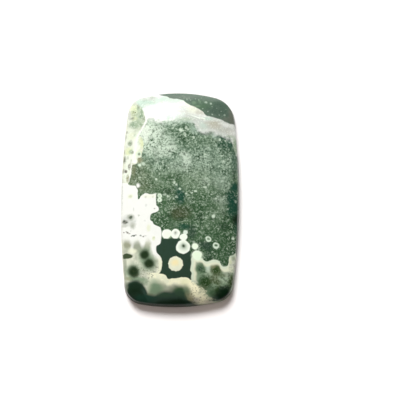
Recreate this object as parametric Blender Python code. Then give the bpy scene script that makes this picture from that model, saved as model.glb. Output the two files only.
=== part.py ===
"""Ocean jasper cabochon: one polished stone with a flat back, a leaning girdle wall and a low dome.

Metres, +Z up. The origin is the middle of the flat back, +Y runs along the stone and +X across it.
The stone was cut by hand, so each of its four sides and four corners has its own arc.
"""

import math

import bmesh
import bpy
from mathutils import Vector

MM = 0.001

# Driving dimensions
WIDTH = 24.0 * MM
LENGTH = 44.0 * MM
WALL_TOP = 2.1 * MM
DOME_HEIGHT = 3.4 * MM
BACK_BEVEL = 0.35 * MM
WALL_LEAN = math.radians(9.0)

# The dome's section across the stone is the top of an ellipse, from this far round it up to the crown, so
# that it meets the wall in an edge. Along the stone this power of the same ellipse keeps the crown long and
# level. The share is how far the highest rings turn from the outline to an oval.
EDGE_RISE = math.radians(25.0)
CROWN_POWER = 0.5
CROWN_OVAL = 0.8

# Each side bows outwards as an arc: (how far it reaches, where its crest is along the side, its radius)
RIGHT_SIDE = (WIDTH / 2, 0.0, 145.0 * MM)
HEAD_SIDE = (LENGTH / 2, -0.35 * MM, 30.5 * MM)
LEFT_SIDE = (WIDTH / 2, 0.0, 150.0 * MM)
FOOT_SIDE = (LENGTH / 2, -1.3 * MM, 39.5 * MM)

# Corner radii
HEAD_RIGHT_CORNER = 5.2 * MM
HEAD_LEFT_CORNER = 3.85 * MM
FOOT_LEFT_CORNER = 4.0 * MM
FOOT_RIGHT_CORNER = 3.9 * MM

# Fineness of the mesh
CORNER_STEPS = 12
LONG_SIDE_STEPS = 18
SHORT_SIDE_STEPS = 12
DOME_RINGS = 14
SHARP_ANGLE = math.radians(30.0)

STONE_COLOUR = (0.17, 0.23, 0.165, 1.0)
STONE_ROUGHNESS = 0.12


def clear_scene():
    for old in list(bpy.data.objects):
        bpy.data.objects.remove(old, do_unlink=True)


def side_arc(outwards, reach, crest, radius):
    """The centre and radius of a side's arc. outwards is the way that side faces."""
    along = Vector((abs(outwards.y), abs(outwards.x)))
    return outwards * (reach - radius) + along * crest, radius


def corner_centre(first, second, radius, towards):
    """The centre of the circle of this radius that touches two side arcs from inside, on the side given."""
    (centre_a, radius_a), (centre_b, radius_b) = first, second
    reach_a = radius_a - radius
    reach_b = radius_b - radius
    between = centre_b - centre_a
    apart = between.length
    along = (apart**2 + reach_a**2 - reach_b**2) / (2 * apart)
    aside = math.sqrt(reach_a**2 - along**2)
    unit = between / apart
    normal = Vector((-unit.y, unit.x))
    foot = centre_a + unit * along
    return max(foot + normal * aside, foot - normal * aside, key=towards.dot)


def arc_points(centre, radius, start, end, steps):
    """Points anticlockwise along an arc, without the last one, which begins the next arc."""
    sweep = (end - start) % math.tau / steps
    turns = [start + sweep * n for n in range(steps)]
    return [centre + radius * Vector((math.cos(turn), math.sin(turn))) for turn in turns]


def bearing(vector):
    """The direction of a vector as an angle."""
    return math.atan2(vector.y, vector.x)


def girdle_outline():
    """The stone's outline seen from above, anticlockwise from the head right corner."""
    ways = [Vector((1, 0)), Vector((0, 1)), Vector((-1, 0)), Vector((0, -1))]
    measures = [RIGHT_SIDE, HEAD_SIDE, LEFT_SIDE, FOOT_SIDE]
    steps = [LONG_SIDE_STEPS, SHORT_SIDE_STEPS, LONG_SIDE_STEPS, SHORT_SIDE_STEPS]
    radii = [HEAD_RIGHT_CORNER, HEAD_LEFT_CORNER, FOOT_LEFT_CORNER, FOOT_RIGHT_CORNER]
    sides = [side_arc(way, *measure) for way, measure in zip(ways, measures)]

    corners = []
    for n, radius in enumerate(radii):
        after = (n + 1) % 4
        centre = corner_centre(sides[n], sides[after], radius, ways[n] + ways[after])
        start = bearing(centre - sides[n][0])
        end = bearing(centre - sides[after][0])
        corners.append((centre, radius, start, end))

    points = []
    for n, (centre, radius, start, end) in enumerate(corners):
        after = (n + 1) % 4
        next_start = corners[after][2]
        points += arc_points(centre, radius, start, end, CORNER_STEPS)
        points += arc_points(*sides[after], end, next_start, steps[after])
    return points


def wall_ring(inset, height):
    """A ring of the back, bevel or wall, as shares of the outline across and along, and its height."""
    return 1 - inset / (WIDTH / 2), 1 - inset / (LENGTH / 2), height


def rings_upwards():
    """Every ring as (share across, share along, height): flat back, bevel, leaning wall, dome."""
    wall_top = wall_ring((WALL_TOP - BACK_BEVEL) * math.tan(WALL_LEAN), WALL_TOP)
    rings = [wall_ring(BACK_BEVEL, 0.0), wall_ring(0.0, BACK_BEVEL), wall_top]
    across, along, _ = wall_top
    for n in range(1, DOME_RINGS + 1):
        rise = EDGE_RISE + (math.pi / 2 - EDGE_RISE) * n / (DOME_RINGS + 1)
        inward = math.cos(rise) / math.cos(EDGE_RISE)
        upward = (math.sin(rise) - math.sin(EDGE_RISE)) / (1 - math.sin(EDGE_RISE))
        rings.append((across * inward, along * inward**CROWN_POWER, WALL_TOP + DOME_HEIGHT * upward))
    return rings


def ring_point(girdle, across, along, height):
    """The point of a ring that lies inward of one point of the girdle. Higher rings are drawn in to an oval."""
    above = max(0.0, height - WALL_TOP) / DOME_HEIGHT
    reach = math.hypot(girdle.x / (WIDTH / 2), girdle.y / (LENGTH / 2))
    draw_in = 1 + CROWN_OVAL * above**2 * (1 / reach - 1)
    return Vector((girdle.x * across * draw_in, girdle.y * along * draw_in, height))


def make_cabochon():
    """The stone as one closed solid: the back is filled first, then its edge is extruded up to the crown."""
    mesh = bmesh.new()
    girdle = mesh.verts.layers.float_vector.new("girdle")
    back, *rings = rings_upwards()
    verts = []
    for point in girdle_outline():
        vert = mesh.verts.new(ring_point(point, *back))
        vert[girdle] = point.to_3d()
        verts.append(vert)
    loop = [mesh.edges.new((verts[n - 1], verts[n])) for n in range(len(verts))]
    bmesh.ops.contextual_create(mesh, geom=loop)

    # Extruding copies each vertex's own girdle point to the ring above it.
    for ring in rings:
        made = bmesh.ops.extrude_edge_only(mesh, edges=loop)["geom"]
        for vert in made:
            if isinstance(vert, bmesh.types.BMVert):
                vert.co = ring_point(vert[girdle], *ring)
        loop = [edge for edge in made if isinstance(edge, bmesh.types.BMEdge)]
    bmesh.ops.contextual_create(mesh, geom=loop)

    bmesh.ops.recalc_face_normals(mesh, faces=mesh.faces)
    mesh.verts.layers.float_vector.remove(girdle)
    data = bpy.data.meshes.new("cabochon")
    mesh.to_mesh(data)
    mesh.free()
    data.shade_smooth()
    data.set_sharp_from_angle(angle=SHARP_ANGLE)
    return bpy.data.objects.new("cabochon", data)


def stone_material():
    material = bpy.data.materials.new("ocean jasper")
    material.use_nodes = True
    shader = material.node_tree.nodes["Principled BSDF"]
    shader.inputs["Base Color"].default_value = STONE_COLOUR
    shader.inputs["Roughness"].default_value = STONE_ROUGHNESS
    shader.inputs["Metallic"].default_value = 0.0
    return material


def main():
    clear_scene()
    collection = bpy.data.collections.new("ocean jasper cabochon")
    bpy.context.scene.collection.children.link(collection)
    stone = make_cabochon()
    stone.data.materials.append(stone_material())
    collection.objects.link(stone)


main()
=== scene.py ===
"""An ocean jasper cabochon lying face up on a pale studio floor.

The stone is coloured from a plan of its front: x runs across it and y along it, in millimetres from its middle.
Borders are curves over that plan, orbs are spheres in the stone, and the moss is noise all through it, so that
the wall and the back are cuts through the same stone.
"""

import math

import bpy
import numpy as np
from bpy.props import FloatProperty, FloatVectorProperty, PointerProperty
from mathutils import Matrix, Vector


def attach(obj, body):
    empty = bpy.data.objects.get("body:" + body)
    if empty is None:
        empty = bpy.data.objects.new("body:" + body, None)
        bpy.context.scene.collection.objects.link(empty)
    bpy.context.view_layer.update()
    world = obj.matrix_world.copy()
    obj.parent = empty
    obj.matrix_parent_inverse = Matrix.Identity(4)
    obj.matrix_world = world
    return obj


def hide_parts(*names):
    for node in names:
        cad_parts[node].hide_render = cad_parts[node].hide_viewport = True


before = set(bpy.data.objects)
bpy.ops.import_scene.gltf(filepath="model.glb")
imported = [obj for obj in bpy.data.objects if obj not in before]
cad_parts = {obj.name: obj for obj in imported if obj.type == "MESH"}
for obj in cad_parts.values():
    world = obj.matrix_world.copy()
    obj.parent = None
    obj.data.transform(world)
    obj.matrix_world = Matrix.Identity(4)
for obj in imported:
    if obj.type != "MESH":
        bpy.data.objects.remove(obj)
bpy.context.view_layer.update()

bl_info = {
    "name": "Ocean jasper cabochon",
    "version": (1, 0, 0),
    "blender": (4, 5, 0),
    "location": "3D View > Sidebar > Jasper",
    "description": "Cuts, polishes and colours one ocean jasper cabochon and sets it on a studio floor",
    "category": "Object",
}

MM = 0.001

# The outline's four sides: the way each faces, where its crest is along the side and the side's radius, both
# in mm. Then the four corner radii in mm.
SIDES = [((1, 0), 0.0, 145.0), ((0, 1), -0.35, 30.5), ((-1, 0), 0.0, 150.0), ((0, -1), -1.3, 39.5)]
CORNERS = [5.2, 3.85, 4.0, 3.9]

# How far the dome's highest rings turn from the outline to an oval, and how much of the dome the firm edge takes
CROWN_OVAL = 0.8
EDGE_SHARE = 0.011

# Points along each corner and side of the outline, and rings of each part of the section
CORNER_STEPS = 40
SIDE_STEPS = 70
BACK_RINGS = 10
BEVEL_RINGS = 5
WALL_RINGS = 8
EDGE_RINGS = 6
DOME_RINGS = 72

# The stone's refraction and shine, and its roughness on the ground back, the wall and the polished front
STONE_IOR = 1.54
STONE_SHINE = 0.12
BACK_ROUGHNESS = 0.5
WALL_ROUGHNESS = 0.3
FRONT_ROUGHNESS = 0.14

# Half the width of an orb's soft edge in mm, and the most patches that one node group holds
ORB_EDGE = 0.1
GROUP_SIZE = 20

# How far the paper reaches each way in metres, and how far it lies below the stone, so that their faces don't meet
PAPER_REACH = 3.0
PAPER_DROP = 0.02 * MM
PAPER_COLOUR = (0.93, 0.92, 0.92)
PAPER_ROUGHNESS = 0.9


def srgb(red, green, blue):
    """The linear colour of an sRGB colour of 0 to 255."""
    shares = [part / 255 for part in (red, green, blue)]
    return tuple(part / 12.92 if part <= 0.04045 else ((part + 0.055) / 1.055) ** 2.4 for part in shares)


def length_prop(name, description, millimetres):
    return FloatProperty(
        name=name, description=description, default=millimetres * MM, min=0.0, subtype="DISTANCE", unit="LENGTH"
    )


def colour_prop(name, description, red, green, blue):
    return FloatVectorProperty(
        name=name, description=description, default=srgb(red, green, blue), min=0.0, max=1.0, size=3, subtype="COLOR"
    )


class StoneSizes(bpy.types.PropertyGroup):
    width: length_prop("Width", "Across the girdle", 24.0)
    length: length_prop("Length", "Along the girdle", 44.0)
    wall_top: length_prop("Wall top", "Height at which the girdle wall turns into the dome", 2.1)
    dome_height: length_prop("Dome height", "From the top of the wall to the crown", 3.4)
    back_bevel: length_prop("Back bevel", "Width of the bevel round the flat back", 0.35)
    wall_lean: FloatProperty(
        name="Wall lean", description="How far the wall leans in", default=math.radians(9.0), subtype="ANGLE"
    )
    edge_rise: FloatProperty(
        name="Edge rise", description="How far round its ellipse the dome begins; more is a flatter dome with a "
        "firmer edge", default=math.radians(25.0), subtype="ANGLE"
    )


class StoneColours(bpy.types.PropertyGroup):
    # The head moss is partly the stone's own colour and partly painted sheen, a veil of reflected light over the
    # upper stone
    moss_head: colour_prop("Head moss", "Moss near the head", 116, 141, 120)
    moss_mid: colour_prop("Mid moss", "Moss in the middle", 104, 128, 102)
    moss_low: colour_prop("Low moss", "Moss below the middle", 66, 96, 66)
    moss_deep: colour_prop("Deep moss", "Moss near the foot", 55, 86, 56)
    olive: colour_prop("Olive", "Yellower moss", 100, 114, 86)
    # Along the cap's top edge this grey is partly a painted reflection
    dusk: colour_prop("Dusk", "Purplish grey in the moss and the cap", 104, 116, 106)
    frost: colour_prop("Frost", "Pale clouds in the moss", 190, 208, 190)
    snow: colour_prop("Snow", "Pale grains in the moss", 202, 220, 200)
    shade: colour_prop("Shade", "Dark grains in the moss", 36, 60, 40)
    teal: colour_prop("Teal", "Blue-green moss at the right edge", 18, 66, 52)
    brown: colour_prop("Brown", "Brown stains", 62, 70, 44)
    white: colour_prop("White", "Chalcedony of the band and the mass", 227, 231, 226)
    chalk: colour_prop("Chalk", "Warmer white of the column and the cream zone", 212, 217, 198)
    mint: colour_prop("Mint", "Green tint in the white band and the orbs", 176, 198, 184)
    celadon: colour_prop("Celadon", "Pale green of some orbs", 222, 242, 214)
    mist: colour_prop("Mist", "Grey of the white band", 182, 189, 182)
    fawn: colour_prop("Fawn", "Brownish grey of the white band", 174, 174, 160)
    cap: colour_prop("Cap", "Grey-green cap at the head", 84, 102, 90)
    lichen: colour_prop("Lichen", "Grey-green of the left column", 156, 176, 150)
    straw: colour_prop("Straw", "Yellowish spots", 204, 214, 168)
    cream: colour_prop("Cream", "Cream chalcedony near the foot", 222, 227, 200)
    clay: colour_prop("Clay", "Grey inside the cream zone", 144, 152, 134)
    fallow: colour_prop("Fallow", "Tan stain in the cream zone", 146, 146, 116)
    slate: colour_prop("Slate", "Dark window between the orbs", 40, 62, 50)
    eye: colour_prop("Eye", "Dark centres", 28, 47, 25)
    fern: colour_prop("Fern", "Yellower green at the bottom right", 66, 84, 46)
    ivy: colour_prop("Ivy", "Dark green spots at the bottom right", 34, 62, 20)
    milk: colour_prop("Milk", "Body of the white orbs", 228, 238, 225)
    sage: colour_prop("Sage", "Grey-green patches near the foot", 114, 140, 112)
    foot: colour_prop("Foot", "Dark green foot", 43, 66, 55)
    pine: colour_prop("Pine", "Nearly black green", 8, 34, 16)
    amber: colour_prop("Amber", "Yellow centre of the flower orb", 232, 220, 168)
    sand: colour_prop("Sand", "Sandy cream beside the bottom mass", 250, 250, 214)
    ash: colour_prop("Ash", "Grey marks in the white", 104, 104, 94)


# Shapes


def side_arc(way, half, crest, radius):
    """A side as a circle, whose centre lies inwards of the side's crest by the radius."""
    way = np.array(way, float)
    return way * (half @ abs(way) - radius) + abs(way[::-1]) * crest, radius


def corner_centre(first, second, radius, towards):
    """Where two circles meet, each about a side's centre with the side's radius less the corner's."""
    (centre_a, radius_a), (centre_b, radius_b) = first, second
    reach_a = radius_a - radius
    reach_b = radius_b - radius
    between = centre_b - centre_a
    apart = np.hypot(*between)
    along = (apart**2 + reach_a**2 - reach_b**2) / (2 * apart)
    aside = math.sqrt(reach_a**2 - along**2)
    unit = between / apart
    normal = np.array((-unit[1], unit[0]))
    foot = centre_a + unit * along
    return max(foot + normal * aside, foot - normal * aside, key=lambda point: point @ towards)


def arc(centre, radius, start, end, steps):
    """Centre plus radius times cosine and sine of evenly spaced angles from start to end, without the end."""
    turns = start + (end - start) % math.tau * np.arange(steps) / steps
    return centre + radius * np.stack([np.cos(turns), np.sin(turns)], -1)


def girdle_outline(half):
    """The outline from above, anticlockwise: corner arc, side arc, four times. Each arc touches the next."""
    sides = [side_arc(way, half, crest * MM, radius * MM) for way, crest, radius in SIDES]
    ways = [np.array(way, float) for way, _, _ in SIDES]
    corners = []
    for n, radius in enumerate(CORNERS):
        after = (n + 1) % 4
        centre = corner_centre(sides[n], sides[after], radius * MM, ways[n] + ways[after])
        start = math.atan2(*(centre - sides[n][0])[::-1])
        end = math.atan2(*(centre - sides[after][0])[::-1])
        corners.append((centre, radius * MM, start, end))
    parts = []
    for n, (centre, radius, start, end) in enumerate(corners):
        after = (n + 1) % 4
        parts.append(arc(centre, radius, start, end, CORNER_STEPS))
        parts.append(arc(*sides[after], end, corners[after][2], SIDE_STEPS))
    return np.concatenate(parts)


def dome_ring(sizes, wall_top, q):
    """A dome ring: q squared of the wall top's share across and q of its share along. Its height is that of an
    ellipse's top: with c the cosine of the edge's rise times q squared, it is the root of 1 less c squared, less
    the sine of the edge's rise, as a share of 1 less that sine, times the dome's height."""
    level = np.sqrt(1 - (math.cos(sizes.edge_rise) * q**2) ** 2)
    edge = math.sin(sizes.edge_rise)
    height = sizes.wall_top + sizes.dome_height * (level - edge) / (1 - edge)
    return np.stack([wall_top[0] * q**2, wall_top[1] * q, height], -1)


def stone_rings(sizes):
    """The stone's section from the middle of its back to its crown: share across, share along, height.

    The back grows from 0 to the bevel at height 0, the bevel is a quarter round, the wall leans in by its angle,
    the edge is a parabola that leaves the wall and joins the dome along their own directions, and the dome's
    rings close on the crown.
    """
    half = np.array([sizes.width, sizes.length]) / 2
    back = np.arange(1, BACK_RINGS) / BACK_RINGS
    flat = 1 - sizes.back_bevel / half
    under = np.stack([flat[0] * back, flat[1] * back, 0 * back], -1)

    turn = np.linspace(0, math.pi / 2, BEVEL_RINGS)
    inset = sizes.back_bevel * (1 - np.sin(turn))
    rise = sizes.back_bevel * (1 - np.cos(turn))
    bevel = np.stack([1 - inset / half[0], 1 - inset / half[1], rise], -1)

    up = np.linspace(0, 1, WALL_RINGS + 1)[1:]
    height = sizes.back_bevel + (sizes.wall_top - sizes.back_bevel) * up
    inset = (height - sizes.back_bevel) * math.tan(sizes.wall_lean)
    wall = np.stack([1 - inset / half[0], 1 - inset / half[1], height], -1)

    dome = dome_ring(sizes, wall[-1], 1 - EDGE_SHARE - (1 - EDGE_SHARE) * np.arange(DOME_RINGS) / DOME_RINGS)
    start, corner, end = wall[-2], wall[-1], dome[0]
    t = np.linspace(0, 1, EDGE_RINGS + 2)[1:-1, None]
    edge = (1 - t) ** 2 * start + 2 * t * (1 - t) * corner + t**2 * end
    return np.concatenate([under, bevel, wall[:-1], edge, dome])


def stone_surface(sizes):
    """Points of a grid of rings by outline: the outline times a ring's shares, drawn in to an oval on the dome.

    The oval factor is 1 plus CROWN_OVAL times the squared share of the dome's height times (1 / reach - 1),
    where reach is the outline point's distance in units of half width and half length.
    """
    half = np.array([sizes.width, sizes.length]) / 2
    outline = girdle_outline(half)
    reach = np.hypot(*(outline / half).T)
    rings = stone_rings(sizes)
    above = np.maximum(0, rings[:, 2] - sizes.wall_top) / sizes.dome_height
    draw_in = 1 + CROWN_OVAL * above[:, None] ** 2 * (1 / reach - 1)
    across = outline[:, 0] * rings[:, None, 0] * draw_in
    along = outline[:, 1] * rings[:, None, 1] * draw_in
    height = rings[:, None, 2] + 0 * draw_in
    return np.stack([across, along, height], -1)


def closed_mesh(name, grid, low_pole, high_pole):
    """A mesh of a grid of rings that wraps round, closed by a fan at each pole. Faces point outwards."""
    rings, steps, _ = grid.shape
    points = np.concatenate([grid.reshape(-1, 3), [low_pole, high_pole]])
    here = np.arange(rings * steps).reshape(rings, steps)
    beside = np.roll(here, -1, 1)
    quads = np.stack([here[:-1], beside[:-1], beside[1:], here[1:]], -1).reshape(-1, 4)
    low = np.stack([np.full(steps, rings * steps), beside[0], here[0]], -1)
    high = np.stack([here[-1], beside[-1], np.full(steps, rings * steps + 1)], -1)
    mesh = bpy.data.meshes.new(name)
    mesh.from_pydata(points.tolist(), [], quads.tolist() + low.tolist() + high.tolist())
    mesh.validate()
    mesh.shade_smooth()
    return mesh


# Materials


class Wire:
    """An output socket of a material, so that shader maths reads as plain expressions.

    Sums on numbers add Math nodes and sums on vectors add Vector Math nodes.
    """

    def __init__(self, tree, socket):
        self.tree = tree
        self.socket = socket

    def node(self, kind, settings=None, inputs=None, output=0):
        """Adds a node, makes its settings, fills its sockets with values or wires, and gives one output."""
        made = self.tree.nodes.new(kind)
        for name, setting in (settings or {}).items():
            if name == "stops":
                set_stops(made.color_ramp, setting)
            elif name == "points":
                set_points(made.mapping, setting)
            else:
                setattr(made, name, setting)
        for key, value in (inputs or {}).items():
            if isinstance(value, Wire):
                self.tree.links.new(value.socket, made.inputs[key])
            else:
                made.inputs[key].default_value = value
        return None if output is None else Wire(self.tree, made.outputs[output])

    def sum(self, operation, first, second):
        if self.socket.type != "VALUE":
            return self.node("ShaderNodeVectorMath", {"operation": operation}, {0: first, 1: second})
        return self.node("ShaderNodeMath", {"operation": operation}, {0: first, 1: second})

    def __add__(self, other):
        return self.sum("ADD", self, other)

    def __sub__(self, other):
        return self.sum("SUBTRACT", self, other)

    def __rsub__(self, other):
        return self.sum("SUBTRACT", other, self)

    def __mul__(self, other):
        return self.sum("MULTIPLY", self, other)

    def __truediv__(self, other):
        return self.sum("DIVIDE", self, other)

    def __neg__(self):
        return 0.0 - self

    def __abs__(self):
        return self.most(-self)

    def scaled(self, factor):
        """This vector times a number."""
        return self.node("ShaderNodeVectorMath", {"operation": "SCALE"}, {0: self, "Scale": factor})

    def least(self, other):
        return self.sum("MINIMUM", self, other)

    def most(self, other):
        return self.sum("MAXIMUM", self, other)

    def fade(self, start, end, low=0.0, high=1.0):
        """Goes smoothly from low, where this number is start, to high, where it is end."""
        settings = {"interpolation_type": "SMOOTHSTEP", "clamp": False}
        return self.node("ShaderNodeMapRange", settings, {0: self, 1: start, 2: end, 3: low, 4: high})

    def covered(self, colour, mask):
        """This colour with another one over it where the mask is 1."""
        inputs = {0: mask, 6: self, 7: colour}
        return self.node("ShaderNodeMix", {"data_type": "RGBA", "clamp_factor": True}, inputs, 2)

    def noise(self, size, detail=2.0, roughness=0.5, distortion=0.0, output=0):
        """Noise at this point with features of about this size, as a number, or with output 1 as a colour."""
        inputs = {"Vector": self, "Scale": 1 / size, "Detail": detail, "Roughness": roughness,
                  "Distortion": distortion}
        return self.node("ShaderNodeTexNoise", None, inputs, output)

    def wander(self, size, detail, reach):
        """A vector that wanders about zero from place to place, with features of about this size."""
        return (self.noise(size, detail, output=1) - (0.5, 0.5, 0.5)).scaled(reach)

    def parts(self):
        """The three numbers of this vector."""
        made = self.tree.nodes.new("ShaderNodeSeparateXYZ")
        self.tree.links.new(self.socket, made.inputs[0])
        return [Wire(self.tree, socket) for socket in made.outputs]

    def split(self):
        """The numbers x and y of this vector, and the vector joined again. What is built on these is worked out
        in the order in which it was made, so few values wait at a time and a long material still fits."""
        x, y, z = self.parts()
        return x, y, self.node("ShaderNodeCombineXYZ", None, {0: x, 1: y, 2: z})


def set_stops(ramp, stops):
    """Colour ramp stops as (place, colour)."""
    for n, (place, colour) in enumerate(stops):
        stop = ramp.elements[n] if n < 2 else ramp.elements.new(place)
        stop.position = place
        stop.color = colour
    ramp.interpolation = "EASE"


def set_points(mapping, points):
    """Curve points as (place, level), both from 0 to 1."""
    curve = mapping.curves[0]
    for n, (place, level) in enumerate(points):
        if n < 2:
            curve.points[n].location = (place, level)
        else:
            curve.points.new(place, level)
    for point in curve.points:
        point.handle_type = "AUTO_CLAMPED"
    mapping.update()


def border(run, points):
    """A curve over the plan: its level in mm where the run is so many mm, through the points given."""
    runs = [point[0] for point in points]
    levels = [point[1] for point in points]
    start, span = min(runs), max(runs) - min(runs)
    low, height = min(levels), max(levels) - min(levels)
    shares = sorted(((a - start) / span, (b - low) / height) for a, b in points)
    ends = [shares[0], shares[-1], *shares[1:-1]]
    level = run.node("ShaderNodeFloatCurve", {"points": ends}, {"Value": (run - start) / span})
    return level * height + low


def spot(plan, x, y, across, along, soft, strength=1.0):
    """The strength inside an ellipsoid about (x, y) at the front's depth, fading over this share of its radii."""
    scale = (1 / across, 1 / along, 1 / max(across, along))
    inputs = {0: plan, 1: scale, 2: (-x / across, -y / along, 0.0)}
    placed = plan.node("ShaderNodeVectorMath", {"operation": "MULTIPLY_ADD"}, inputs)
    reach = placed.node("ShaderNodeVectorMath", {"operation": "LENGTH"}, {0: placed}, 1)
    return reach.fade(1 + soft, 1 - soft, 0.0, strength)


def distance(plan, x, y, depth=0.0):
    """Distance in mm from a point of the plan."""
    return plan.node("ShaderNodeVectorMath", {"operation": "DISTANCE"}, {0: plan, 1: (x, y, depth)}, 1)


# The head's dark cap begins above this line
CAP_BORDER = [
    (-12.5, 23), (-6, 22.6), (-4.6, 21.3), (-3, 20.85), (-2, 20.4), (-1, 20.2), (0, 20), (1, 19.4), (2, 18.7),
    (3, 18.3), (4, 17.75), (4.5, 17.3), (5, 16.65), (6, 16.4), (7, 16.15), (8, 15.95), (9, 15.5), (10, 15.15),
    (11, 15.05), (12.5, 14.9),
]

# The white band reaches down to this line, and the thin cream line in it runs along the other
BAND_BORDER = [
    (-12.5, 23), (-9.2, 19.7), (-8.8, 19), (-8.1, 18.2), (-7.6, 17.2), (-7.3, 16.2), (-7.0, 15.6), (-6.5, 15.8),
    (-6, 15.9), (-5.4, 15.7), (-4.9, 15.2), (-4.4, 15.4), (-3.8, 15.3), (-3.2, 15.7), (-2, 15.6), (0, 15.5),
    (1, 15.5), (2, 15.2), (2.6, 14.9), (3, 14.3), (3.5, 13.8), (4, 13.2), (4.5, 13.05), (6, 13.1), (7, 12.8),
    (8, 12.6), (9, 12.4), (10, 12.2), (10.5, 11.6), (10.8, 10.4), (11.3, 9.2), (12.5, 8.6),
]
BAND_LINE = [(1.2, 16.75), (2, 16.5), (3, 16.2), (4, 15.95), (5, 15.8)]

# The white vein's middle, read along y
VEIN = [
    (19, -6.0), (16.6, -6.6), (15.8, -6.85), (15, -7.1), (14, -7.65), (13, -8.2), (12, -8.7), (10.5, -8.9),
    (9, -9.1), (8, -9.4), (7, -9.7), (6, -9.85), (5, -9.95), (4, -10.05), (3, -10.3), (-1, -11),
]

# The moss begins right of this line, read along y
MOSS_LEFT = [
    (23, -6.2), (16.2, -6.5), (15.3, -6.9), (14.3, -7.5), (13, -8.1), (12.4, -8.2), (11.9, -7.8), (10.5, -7.4),
    (9.4, -7.5), (8.6, -7.7), (7.8, -7.9), (7.4, -8.6), (6.9, -8.6), (6.35, -9.2), (6.1, -9.65), (5, -9.8),
    (4, -10), (3, -10.3), (0, -10.6), (-3, -11),
]

# The white mass lies below the first line and left of the second, which is read along y
MASS_CREST = [
    (-12.5, 3.2), (-10.5, 2.5), (-10, 2.2), (-9.2, 2.05), (-8.75, 1.6), (-8.45, 1), (-8.4, 0), (-8.3, -0.9),
    (-8.05, -0.7), (-7.8, -0.15), (-7.2, 0.15), (-6.8, 0.3), (-6, 0.1), (-4.8, 0.15), (-4, 0.3), (12.5, 0.4),
]
MASS_RIGHT = [
    (1, -4.75), (0, -4.75), (-1, -4.75), (-2, -4.6), (-3.1, -4.2), (-3.5, -4.6), (-3.8, -5.3), (-4.6, -5.8),
    (-5.5, -5.3), (-6, -5), (-6.5, -4), (-7, -3.6), (-8, -3.5), (-9.4, -3.6), (-10, -4), (-11, -4.5), (-12, -4),
    (-13, -3.4), (-13.8, -3.3), (-15.2, -3.6), (-15.65, -4), (-16.5, -5), (-23, -6),
]

# The cream zone lies below this line in the white mass
ZONE_TOP = [
    (-12.5, -8.7), (-10.2, -8.8), (-9.4, -9.3), (-8.4, -9.0), (-7.7, -9.6), (-7.2, -10.1), (-6.7, -9.3),
    (-6.2, -8.9), (-5.6, -9.4), (-5.3, -10.6), (-4.6, -12.2), (-3, -12.6), (12.5, -13),
]

# The slate window lies between these lines; its right wall is read along y
WINDOW_TOP = [
    (-12.5, -9), (-3.4, -8.9), (0, -8.9), (0.5, -9.3), (1.5, -10.8), (2.3, -11.6), (2.8, -12), (12.5, -12.2),
]
WINDOW_FLOOR = [
    (-12.5, -15.4), (-4, -15.65), (-3.2, -15.8), (-2.5, -16.1), (-1.9, -16.8), (0, -16.6), (1, -16.45),
    (1.8, -16.6), (2.4, -16.95), (3.2, -17.1), (12.5, -17.2),
]
WINDOW_RIGHT = [
    (-8, 2.6), (-12, 2.7), (-13, 2.45), (-14, 2.4), (-15, 2.3), (-15.8, 2.6), (-16.2, 2.5), (-17, 2.4), (-23, 2.4),
]

# The bottom right mass lies below the first line and right of the second, which is read along y
BLOCK_TOP = [
    (-12.5, -12.6), (2.3, -12.5), (3.6, -12.5), (4.6, -12.7), (5.5, -13.3), (6, -13.2), (7.2, -12.95), (8, -13.2),
    (8.9, -14.1), (9.5, -14), (9.85, -13.4), (10, -12.2), (10.3, -11.8), (11, -11.5), (11.5, -11.2), (12.5, -10.8),
]
BLOCK_LEFT = [
    (-10, 2.7), (-12, 2.7), (-13, 2.45), (-14, 2.4), (-15, 2.3), (-15.8, 2.6), (-16.2, 2.5), (-16.9, 2.5),
    (-17.6, 3.2), (-18.5, 4.4), (-19.5, 5.2), (-20.5, 6.2), (-21.5, 7.2), (-23, 8),
]

# The dark foot begins below this line
FOOT_TOP = [
    (-12.5, -17.7), (-10.3, -17.5), (-9.8, -17.15), (-9.0, -16.95), (-8.2, -17.0), (-7.4, -17.4), (-6.9, -18.1),
    (-6.4, -18.9), (-6.0, -19.6), (-5.0, -19.8), (-4.0, -19.4), (-3.0, -19.15), (-1.0, -19.0), (-0.6, -19.0),
    (0.3, -18.8), (1.0, -19.1), (1.45, -19.6), (1.6, -20.3), (2.4, -20.9), (3.5, -21.3), (6.0, -21.7),
    (12.5, -22.2),
]

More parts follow.
